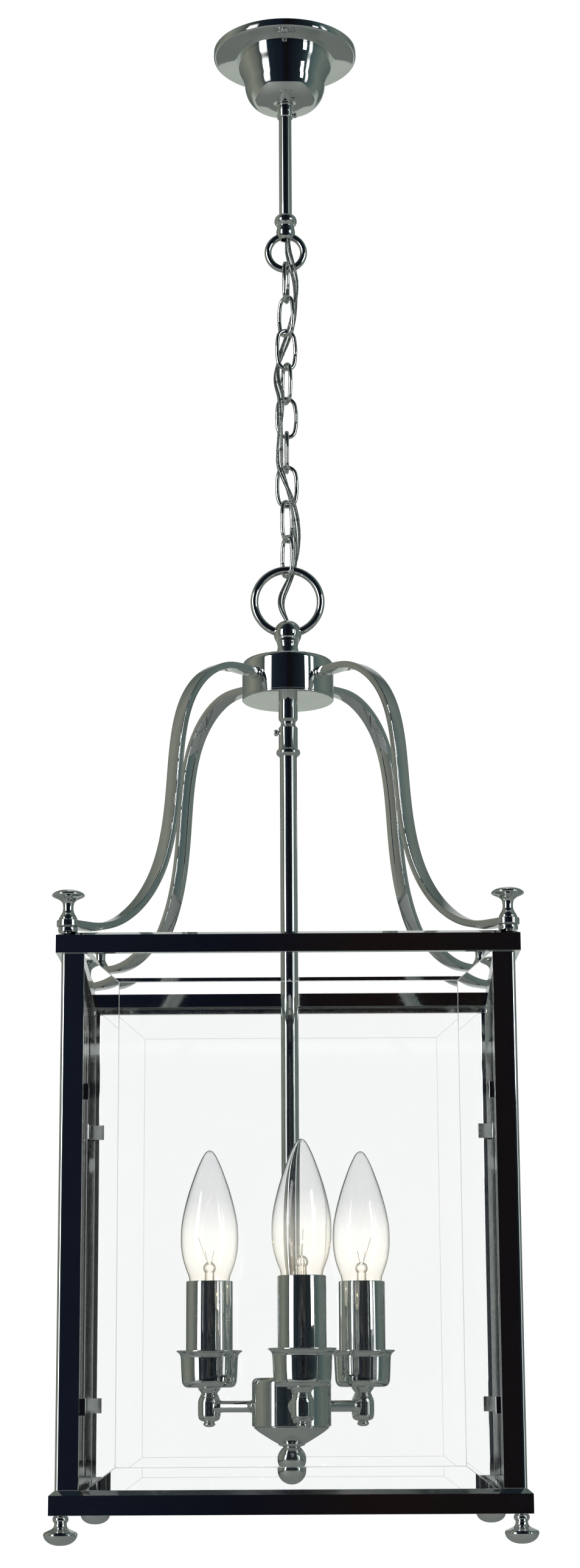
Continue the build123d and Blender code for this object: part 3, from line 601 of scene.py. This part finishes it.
lathe("hub_drum_turned", [(25.3, -423.6), (27.4, -423.6), (27.5, -423.4), (27.5, -403.9)]
      + arc((23.8, -403.9), 3.7, 0, 90, 14)[1:]
      + [(5.12, -400.2), (5.12, -402.4), (23.4, -402.4), (25.3, -404.2)], "lantern", "hub_drum", steps=144)
lathe("hub_plate_turned", [(5.9, -425.0), (26.9, -425.0), (27.5, -424.6), (27.5, -423.8), (27.2, -423.65),
                           (5.9, -423.65)], "lantern", "hub_plate", steps=144)

stud = ([(0, 22.8), (3.4, 22.8), (3.4, 24.9), (1.8, 24.9), (1.8, 27.3), (2.6, 27.35)]
        + curve([(3.2, 27.6), (3.7, 28.5), (3.6, 29.5), (2.9, 30.25)], 5)
        + [(1.3, 30.3), (1.3, 35.2), (0, 35.2)])
lathe("arm_studs_turned", stud, "lantern", "arm_studs",
      at=[turn_z(a) @ shift(0, 0, -412.2) @ across for a in CORNERS.values()], steps=48, closed=False)


def clamped_spline(points, steps):
    """Cubic spline through flat points, level at both ends."""
    pts = np.array(points, float)
    gaps = np.linalg.norm(np.diff(pts, axis=0), axis=1)
    n = len(pts)
    lhs, rhs = np.zeros((n, n)), np.zeros((n, 2))
    lhs[0, 0] = lhs[-1, -1] = 1.0
    rhs[0] = rhs[-1] = (1.0, 0.0)
    for i in range(1, n - 1):
        a, b = gaps[i - 1], gaps[i]
        lhs[i, i - 1], lhs[i, i], lhs[i, i + 1] = b, 2 * (a + b), a
        rhs[i] = 3 * (b * (pts[i] - pts[i - 1]) / a + a * (pts[i + 1] - pts[i]) / b)
    slopes = np.linalg.solve(lhs, rhs)
    out = []
    for i in range(n - 1):
        h = gaps[i]
        for k in range(steps):
            t = k / steps
            out.append((2 * t ** 3 - 3 * t * t + 1) * pts[i] + (t ** 3 - 2 * t * t + t) * h * slopes[i]
                       + (3 * t * t - 2 * t ** 3) * pts[i + 1] + (t ** 3 - t * t) * h * slopes[i + 1])
    out.append(pts[-1])
    return out


ARM_LINE = [(30.35, -412.2), (52.0, -413.0), (70.5, -423.0), (82.0, -438.5), (88.4, -458.5), (92.2, -490.0),
            (96.5, -519.5), (105.0, -544.0), (120.5, -565.0), (139.0, -577.2), (157.0, -580.65)]
arm_curve = clamped_spline(ARM_LINE, 10)
foot_x = 120 * math.sqrt(2)
arm_points = [(s, 0, z) for s, z in arm_curve] + [(163.0, 0, -580.65), (foot_x - 3, 0, -580.65)]
arm_ups = []
for i in range(len(arm_points)):
    a = np.array(arm_points[max(i - 1, 0)])
    b = np.array(arm_points[min(i + 1, len(arm_points) - 1)])
    arm_ups.append((-(b - a)[2], 0, (b - a)[0]))
arm_verts, arm_faces = sweep(arm_points, arm_ups, bar_section(9.6, 4.0, 0.5))
eye = [(2.05, -582.6), (5.8, -582.6), (6.2, -582.2), (6.2, -579.1), (5.8, -578.7), (2.05, -578.7)]
eye_verts, eye_faces = lathe_mesh(soften(eye, 0.3), 64, True)
base = len(arm_verts)
arm_verts = arm_verts + place(eye_verts, shift(foot_x, 0))
arm_faces = arm_faces + [tuple(base + i for i in f) for f in eye_faces]
for corner, angle in CORNERS.items():
    obj = piece(f"hanger_arm_{corner}_bar", place(arm_verts, turn_z(angle)), arm_faces, "lantern",
                f"hanger_arm_{corner}", CHROME_FLAT, 30)
    fix_normals(obj)


# ---- Stem ----

lathe("stem_coupler_turned",
      [(3.02, -442), (3.02, -421.5), (8.0, -421.5), (8.0, -423.5), (5.75, -423.6), (5.75, -436.4)]
      + curve([(5.5, -437.0), (4.6, -438.0), (4.4, -439.2), (4.6, -440.4), (5.5, -441.4)], 6)
      + [(5.75, -441.9), (5.75, -454.2)]
      + curve([(6.0, -454.9), (6.8, -455.6), (7.15, -456.8), (7.05, -458.0), (6.4, -458.8)], 6)
      + [(5.9, -459.0), (5.7, -459.5), (5.2, -459.5), (5.2, -442)], "lantern", "stem_coupler")
side_screw = [(0, 5.3), (1.2, 5.3), (1.2, 6.2), (2.0, 6.25), (2.0, 7.9), (1.5, 8.4), (0.6, 8.4), (0.5, 8.0),
              (0, 8.0)]
lathe("coupler_screw_turned", side_screw, "lantern", "coupler_screw",
      at=[turn_z(180) @ shift(0, 0, -444.6) @ across], steps=32)
lathe("stem_tube_drawn", [(4.0, -825.5), (5.15, -825.5), (5.15, -442.1), (4.0, -442.1)],
      "lantern", "stem_tube", steps=96)


# ---- Frame ----

for node in ("top_rails", "bottom_rails"):
    bevelled_copy(node, "lantern", CHROME_FLAT, 0.45)
for corner in CORNERS:
    bevelled_copy(f"corner_post_{corner}", "lantern", CHROME_FLAT, 0.3)
for side in SIDES:
    bevelled_copy(f"glass_pane_{side}", "lantern", PANE, 0.22, 2, PANE_ARRIS)
bevelled_copy("glass_clips", "lantern", CHROME_FLAT, 0.15, 2)

posts_at = [shift(x, y) for x in (-120, 120) for y in (-120, 120)]
lathe("foot_spacers_turned", [(2.1, -585.65), (5.0, -585.65), (5.2, -585.4)]
      + curve([(5.3, -585.0), (5.4, -584.1), (5.3, -583.2)], 4)
      + [(5.0, -582.65), (2.1, -582.65)], "lantern", "foot_spacers", at=posts_at, steps=48)
lathe("top_finials_turned", [(0, -597.0), (2.0, -597.0), (2.0, -578.6), (4.9, -578.6), (5.0, -578.2)]
      + curve([(4.95, -577.6), (4.2, -576.2), (3.3, -574.6), (2.9, -572.8), (2.95, -570.6), (3.5, -568.8),
               (5.2, -567.3), (7.4, -566.3), (8.7, -565.6)], 6)
      + curve([(9.0, -565.1), (8.8, -564.4), (7.6, -563.4), (5.4, -562.5), (2.6, -562.05), (0, -562.0)], 6),
      "lantern", "top_finials", at=posts_at, steps=64, closed=False)
lathe("bottom_finials_turned", ([(0, -908.2)]
      + curve([(0.001, -908.2), (3.0, -907.9), (5.8, -906.9), (7.9, -905.2), (8.9, -903.2),
               (8.95, -902.2)], 6)
      + curve([(8.5, -901.4), (6.6, -900.5), (4.6, -899.6), (3.6, -898.6), (3.3, -897.4), (3.3, -896.8)], 6)
      + curve([(3.6, -896.3), (4.1, -895.6), (4.2, -894.8), (4.0, -893.8), (3.4, -893.1)], 6)
      + [(2.0, -892.9), (2.0, -884.3), (0, -884.3)])[1:],
      "lantern", "bottom_finials", at=posts_at, steps=64, closed=False)


# ---- Candle cluster ----

CANDLE_TURNS = [-83.0, 37.0, 157.0]
candles_at = [turn_z(a) @ shift(51.5, 0) for a in CANDLE_TURNS]

lathe("cluster_body_turned", [(3.1, -849.5), (22.3, -849.5), (22.5, -849.2), (22.5, -825.6)]
      + arc((19.4, -825.6), 3.1, 0, 90, 10)[1:]
      + [(7.2, -822.5), (5.25, -822.5), (5.25, -825.0), (19.8, -825.0), (20.5, -826.0), (20.5, -846.5),
         (3.1, -846.5)], "lantern", "cluster_body", steps=128)
lathe("cluster_finial_turned",
      (curve([(0.001, -875.65), (2.6, -875.2), (5.4, -873.6), (7.4, -871.0), (8.15, -867.5), (7.5, -864.4),
              (5.8, -861.9), (4.9, -861.2)], 8)
      + [(4.9, -860.9), (5.6, -860.5)]
      + curve([(7.0, -860.2), (7.4, -859.8), (7.6, -859.2)], 4)
      + curve([(8.4, -858.8), (10.6, -857.6), (14.6, -855.2), (18.4, -852.8), (21.2, -850.6)], 6)
      + [(21.6, -849.6), (3.0, -849.6), (3.0, -843.6), (0, -843.6)]),
      "lantern", "cluster_finial", steps=128, closed=False)

flare = ([(2.1, 18.5), (3.25, 18.5), (3.25, 21.9), (4.8, 22.3), (4.85, 22.9)]
         + curve([(4.5, 23.6), (3.7, 24.6), (3.3, 26.0), (3.25, 27.6)], 5)
         + curve([(3.25, 42.0), (3.3, 43.4), (3.7, 44.8), (4.4, 45.8)], 5)
         + [(4.75, 46.2), (4.75, 47.2), (2.1, 47.2)])
lathe("cluster_arms_turned", flare, "lantern", "cluster_arms",
      at=[turn_z(a) @ shift(0, 0, -838.5) @ across for a in CANDLE_TURNS], steps=64)

vase = (curve([(0.001, -850.0), (1.8, -849.8), (3.3, -848.9), (3.4, -848.0), (2.9, -847.2)], 5)
        + [(3.0, -846.9), (4.6, -846.5)]
        + curve([(5.9, -845.6), (6.4, -843.6), (6.5, -839.5), (6.4, -835.6), (5.8, -833.4)], 6)
        + [(5.3, -832.9), (5.3, -832.1), (4.7, -831.6), (4.7, -830.9)]
        + curve([(5.1, -830.2), (6.1, -829.0), (6.6, -828.0)], 4)
        + [(6.6, -827.85), (0, -827.85)])
lathe("candle_fittings_turned", vase, "lantern", "candle_fittings", at=candles_at, steps=72, closed=False)

cup = ([(2.6, -827.8), (12.9, -827.8)]
       + curve([(14.4, -827.2), (15.5, -825.6), (15.9, -823.6), (16.2, -819.0), (16.4, -813.6),
                (16.6, -810.6)], 6)
       + curve([(16.9, -809.6), (17.8, -808.4), (18.9, -807.7)], 4)
       + [(19.0, -807.4), (18.9, -806.9), (18.2, -806.85)]
       + curve([(17.2, -807.6), (16.0, -809.2), (15.5, -811.2), (15.2, -818.0), (14.8, -823.4),
                (14.2, -825.2)], 6)
       + [(13.8, -825.6), (2.6, -825.6)])
lathe("candle_cups_turned", cup, "lantern", "candle_cups", at=candles_at, steps=96)

sleeve = [(12.6, -825.5), (13.5, -825.5), (13.5, -768.0), (13.3, -767.5), (12.75, -767.5), (12.6, -767.9)]
lathe("candle_sleeves_drawn", sleeve, "lantern", "candle_sleeves", at=candles_at, steps=96, round_by=0.3)


# ---- Bulbs ----

COIL_TURNS = 34
COIL_POINTS = 420
COIL_R = 0.34
COIL_HALF_LENGTH = 2.9


def bulb_pieces(index, matrix):
    low, tip = COLLAR_Z + 1.3, BULB_TIP_Z
    shape = curve([(7.6, low), (9.6, low + 2.6), (11.4, low + 5.6), (12.1, low + 9.4), (13.2, low + 12.2),
                   (15.3, low + 18.6), (16.5, low + 25.2), (16.75, low + 32.0), (16.4, low + 39.0),
                   (15.2, low + 46.0), (13.5, low + 53.0), (11.5, low + 59.9), (9.1, low + 66.8),
                   (6.4, low + 73.8), (3.9, low + 78.9), (2.2, tip - 1.1), (0.9, tip - 0.25),
                   (0.001, tip)], 6)
    wall = 0.55
    inside = []
    for i, (r, z) in enumerate(shape):
        a, b = np.array(shape[max(i - 1, 0)]), np.array(shape[min(i + 1, len(shape) - 1)])
        t = (b - a) / np.linalg.norm(b - a)
        inside.append((max(r - t[1] * wall, 0.001), z + t[0] * wall))
    inside[-1] = (0.001, tip - 1.6)
    inside[-2] = (0.5, tip - 1.9)
    envelope = shape + inside[::-1]
    body = f"bulb_{index}"
    lathe(f"bulb_glass_{index}_envelope", envelope, body, f"bulb_glass_{index}", BULB,
          [matrix], 96, round_by=0.05, sharp=70)
    bead_z, bead_r = low + 14.2, 3.7
    mount = (curve([(6.6, low + 0.2), (5.8, low + 1.4), (3.7, low + 3.0), (2.9, low + 5.4),
                    (2.7, low + 9.6)], 5)
             + arc((0, bead_z), bead_r, -43, 90, 14)[:-1] + [(0, bead_z + bead_r)])
    lathe(f"bulb_glass_{index}_mount", mount, body, f"bulb_glass_{index}", BULB, [matrix], 32,
          closed=False)
    screw = [(0, COLLAR_Z - 25.0), (2.5, COLLAR_Z - 25.0), (2.6, COLLAR_Z - 24.3), (3.4, COLLAR_Z - 23.8),
             (5.4, COLLAR_Z - 21.8), (6.3, COLLAR_Z - 20.6)]
    for k in range(6):
        z = COLLAR_Z - 19.8 + k * 2.8
        screw += [(6.35, z), (6.9, z + 0.9), (6.9, z + 1.3), (6.35, z + 2.2)]
    screw += [(6.7, COLLAR_Z - 2.4), (7.05, COLLAR_Z - 1.6), (7.05, COLLAR_Z + 1.2), (0, COLLAR_Z + 1.25)]
    lathe(f"bulb_base_{index}_cap", screw, body, f"bulb_base_{index}", CAP_METAL, [matrix], 48,
          closed=False, round_by=0.2)
    top = low + 24.6
    for side in (-1, 1):
        wire = curve([(side * 1.6, 0, bead_z + 2.9), (side * 1.7, 0, bead_z + 5.0),
                      (side * 2.4, 0, top - 2.4), (side * 2.9, 0, top)], 6)
        verts, faces = sweep(wire, [(0, 1, 0)] * len(wire), ring_section(0.18, 8))
        piece(f"bulb_base_{index}_lead_{'a' if side < 0 else 'b'}", place(verts, matrix), faces, body,
              f"bulb_base_{index}", CAP_METAL, 60)
    support = [(1.2, 0, bead_z + 3.1), (2.6, 0, bead_z + 6.0), (7.2, 0, top + 7.4)]
    verts, faces = sweep(support, [(0, 1, 0)] * len(support), ring_section(0.14, 8))
    piece(f"bulb_base_{index}_support", place(verts, matrix), faces, body, f"bulb_base_{index}",
          CAP_METAL, 60)
    coil, coil_ups = [], []
    for i in range(COIL_POINTS):
        t = i / (COIL_POINTS - 1)
        a = 2 * math.pi * COIL_TURNS * t
        x = COIL_HALF_LENGTH * (2 * t - 1)
        z = top + 1.1 * math.sin(math.pi * t)
        coil.append((x, COIL_R * math.cos(a), z + COIL_R * math.sin(a)))
        coil_ups.append((0, math.cos(a), math.sin(a)))
    verts, faces = sweep(coil, coil_ups, ring_section(0.075, 6))
    piece(f"bulb_base_{index}_filament", place(verts, matrix), faces, body, f"bulb_base_{index}",
          FILAMENT, 60)


for index, matrix in enumerate(candles_at, start=1):
    bulb_pieces(index, matrix)


# ---- Stage, light and camera ----

def world_light():
    """White studio: reflections see dark flags in front, grey walls and two strip lights."""
    world = bpy.data.worlds.new("studio")
    bpy.context.scene.world = world
    world.use_nodes = True
    nodes, links = world.node_tree.nodes, world.node_tree.links
    background = nodes["Background"]
    coords = nodes.new("ShaderNodeTexCoord")
    axes = nodes.new("ShaderNodeSeparateXYZ")
    links.new(coords.outputs["Generated"], axes.inputs["Vector"])

    def maths(kind, a, b=None):
        node = nodes.new("ShaderNodeMath")
        node.operation = kind
        for socket, value in zip(node.inputs, (a, b)):
            if value is None:
                continue
            if isinstance(value, (int, float)):
                socket.default_value = value
            else:
                links.new(value, socket)
        return node.outputs[0]

    front = maths("MULTIPLY", axes.outputs["Y"], -1.0)
    around = maths("ARCTAN2", axes.outputs["X"], front)
    turn = maths("ADD", maths("MULTIPLY", around, 0.5 / math.pi), 0.5)
    rise = maths("ADD", maths("MULTIPLY", maths("ARCSINE", axes.outputs["Z"]), 1 / math.pi), 0.5)

    def at(degrees):
        return degrees / 360 + 0.5

    walls = ramp(nodes, links, turn, [
        (0.0, (0.6, 0.62, 0.6)), (at(-172), (0.5, 0.52, 0.5)), (at(-166), (0.1, 0.12, 0.105)),
        (at(-140), (0.15, 0.17, 0.15)), (at(-100), (0.25, 0.26, 0.215)), (at(-72), (0.13, 0.145, 0.13)),
        (at(-62), (0.05, 0.06, 0.06)), (at(-38), (0.012, 0.02, 0.03)), (at(-20), (0.008, 0.012, 0.018)),
        (at(-5), (0.006, 0.009, 0.018)), (at(-1.5), (0.003, 0.004, 0.009)), (at(1.5), (0.008, 0.005, 0.004)),
        (at(6), (0.004, 0.004, 0.006)), (at(26), (0.008, 0.013, 0.018)), (at(46), (0.014, 0.024, 0.03)),
        (at(60), (0.04, 0.07, 0.075)), (at(76), (0.085, 0.13, 0.128)), (at(100), (0.16, 0.195, 0.175)),
        (at(150), (0.09, 0.115, 0.11)), (at(172), (0.5, 0.52, 0.5)), (1.0, (0.6, 0.62, 0.6))])
    below = ramp(nodes, links, rise, [(0.44, 1.0), (0.475, 0.0)])
    behind = ramp(nodes, links, turn, [
        (0.0, 1.0), (at(-132), 1.0), (at(-108), 0.0), (at(108), 0.0), (at(132), 1.0)])
    low = maths("MULTIPLY", below, behind)
    ground = nodes.new("ShaderNodeMix")
    ground.data_type = "RGBA"
    links.new(low, ground.inputs["Factor"])
    links.new(walls, ground.inputs[6])
    ground.inputs[7].default_value = (0.42, 0.46, 0.42, 1.0)
    strips = ramp(nodes, links, turn, [
        (at(-61), 0.0), (at(-57), 1.0), (at(-45), 1.0), (at(-41), 0.0),
        (at(59), 0.0), (at(62), 0.6), (at(66), 0.6), (at(69), 0.0)])
    band = ramp(nodes, links, rise, [(0.38, 0.0), (0.48, 1.0), (0.60, 1.0), (0.68, 0.0)])
    strip = nodes.new("ShaderNodeMix")
    strip.data_type = "RGBA"
    strip.blend_type = "MULTIPLY"
    strip.inputs["Factor"].default_value = 1.0
    links.new(strips, strip.inputs[6])
    links.new(band, strip.inputs[7])
    boost = nodes.new("ShaderNodeVectorMath")
    boost.operation = "SCALE"
    boost.inputs["Scale"].default_value = 3.0
    links.new(strip.outputs[2], boost.inputs[0])
    total = nodes.new("ShaderNodeVectorMath")
    total.operation = "ADD"
    links.new(ground.outputs[2], total.inputs[0])
    links.new(boost.outputs[0], total.inputs[1])
    path = nodes.new("ShaderNodeLightPath")
    seen = maths("GREATER_THAN", path.outputs["Glossy Depth"], 0.5)
    pick = nodes.new("ShaderNodeMix")
    pick.data_type = "RGBA"
    links.new(seen, pick.inputs["Factor"])
    pick.inputs[6].default_value = (1.1, 1.1, 1.1, 1.0)
    links.new(total.outputs[0], pick.inputs[7])
    links.new(pick.outputs[2], background.inputs["Color"])
    background.inputs["Strength"].default_value = 1.0


world_light()

floor_mat = moulded("pale_floor", (0.8, 0.81, 0.8), (0.84, 0.85, 0.84), (0.6, 0.8))
bpy.ops.mesh.primitive_plane_add(size=4.4, location=(0, 0.4, -1.3))
floor = bpy.context.object
floor.name = "studio_floor"
floor.data.materials.append(floor_mat)


def softbox(name, location, target, size, power):
    light = bpy.data.lights.new(name, "AREA")
    light.shape = "RECTANGLE"
    light.size, light.size_y = size
    light.energy = power
    obj = bpy.data.objects.new(name, light)
    obj.location = location
    obj.rotation_euler = (Vector(target) - Vector(location)).to_track_quat("-Z", "Y").to_euler()
    bpy.context.scene.collection.objects.link(obj)


softbox("softbox_left", (-2.0, -1.6, 0.2), (0, 0, -0.6), (0.5, 1.4), 10)
softbox("softbox_right", (2.0, -1.8, 0.2), (0, 0, -0.6), (0.4, 1.2), 7)

camera_data = bpy.data.cameras.new("view")
camera_data.sensor_width = 36.0
camera_data.lens = 62.095
camera_data.shift_x = 0.000947
camera_data.shift_y = 0.007765
camera = bpy.data.objects.new("view", camera_data)
heading = 0.005
distance = 1.57494
camera_place = (distance * math.sin(heading), -distance * math.cos(heading), -0.8325)
camera.matrix_world = (Matrix.Translation(camera_place)
                       @ Matrix.Rotation(heading, 4, "Z")
                       @ Matrix.Rotation(math.pi / 2 + 0.2181, 4, "X")
                       @ Matrix.Rotation(-0.0051, 4, "Z"))
bpy.context.scene.collection.objects.link(camera)
bpy.context.scene.camera = camera
bpy.context.scene.view_settings.view_transform = "Standard"

bpy.context.view_layer.update()
